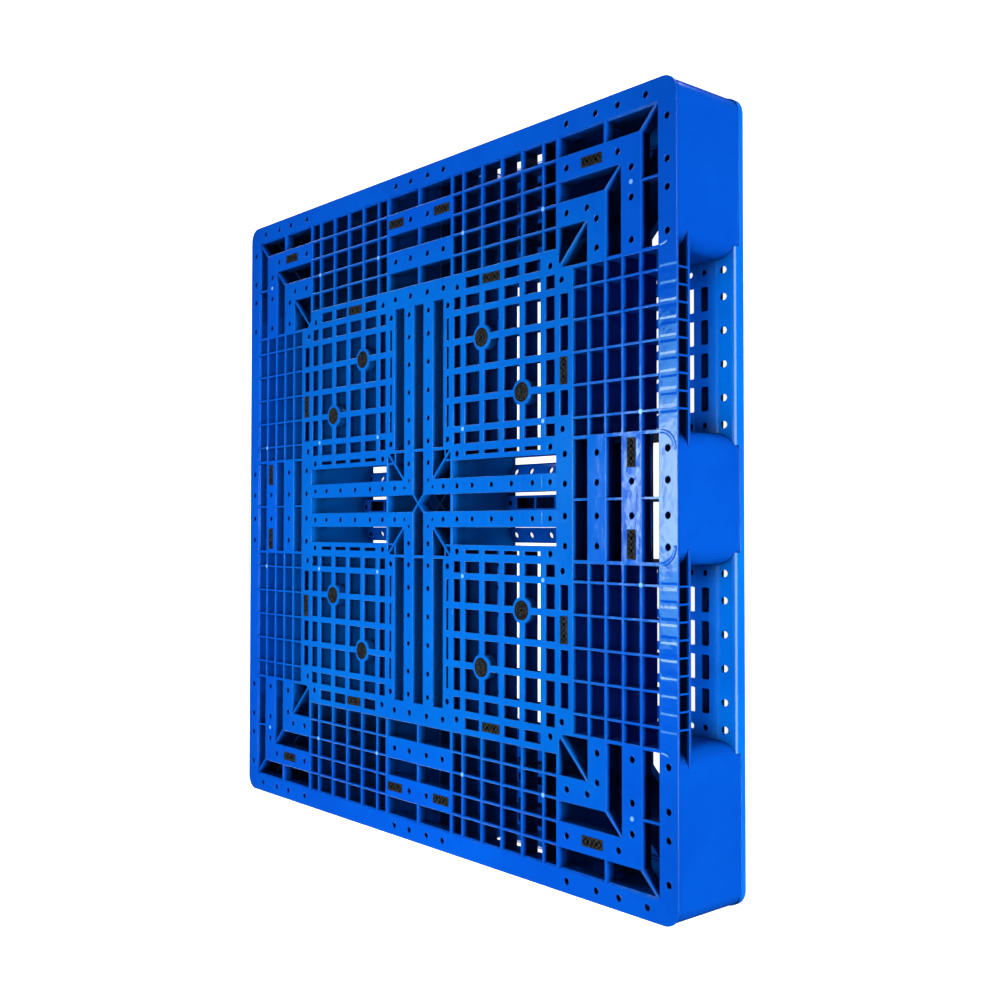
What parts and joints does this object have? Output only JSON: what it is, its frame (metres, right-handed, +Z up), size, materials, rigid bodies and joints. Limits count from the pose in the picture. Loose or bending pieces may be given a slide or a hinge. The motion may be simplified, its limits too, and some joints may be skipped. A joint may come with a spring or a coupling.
{
  "type": "plastic pallet",
  "caption": "Square four-way-entry plastic pallet: grid deck on hollow legs, welded bottom runner frame with wheel windows, and dark rubber anti-slip pads and plugs set in the load face.",
  "frame": {"origin": "on the ground under the middle of the pallet", "axes": "+Z up, normal to the load face; +X and +Y along the deck's two equal sides"},
  "size_m": [1.2, 1.2, 0.151],
  "materials": {
    "deck_plastic": "blue moulded polyolefin, semi-gloss, with fine moulded grain",
    "frame_plastic": "blue moulded polyolefin, semi-gloss",
    "pad_rubber": "dark anti-slip rubber with two dimples",
    "plug_rubber": "dark anti-slip rubber with concentric ridges"
  },
  "bodies": {
    "root": {"top_deck": "deck_plastic", "bottom_frame": "frame_plastic", "pad_corner_ne": "pad_rubber", "pad_corner_nw": "pad_rubber", "pad_corner_sw": "pad_rubber", "pad_corner_se": "pad_rubber", "pad_north_e": "pad_rubber", "pad_north_w": "pad_rubber", "pad_south_e": "pad_rubber", "pad_south_w": "pad_rubber", "pad_east_n": "pad_rubber", "pad_east_s": "pad_rubber", "pad_west_n": "pad_rubber", "pad_west_s": "pad_rubber", "pad_inner_ne_n": "pad_rubber", "pad_inner_ne_e": "pad_rubber", "pad_inner_nw_n": "pad_rubber", "pad_inner_nw_w": "pad_rubber", "pad_inner_sw_s": "pad_rubber", "pad_inner_sw_w": "pad_rubber", "pad_inner_se_s": "pad_rubber", "pad_inner_se_e": "pad_rubber", "plug_ne_n": "plug_rubber", "plug_ne_e": "plug_rubber", "plug_nw_n": "plug_rubber", "plug_nw_w": "plug_rubber", "plug_sw_s": "plug_rubber", "plug_sw_w": "plug_rubber", "plug_se_s": "plug_rubber", "plug_se_e": "plug_rubber"}
  },
  "joints": []
}
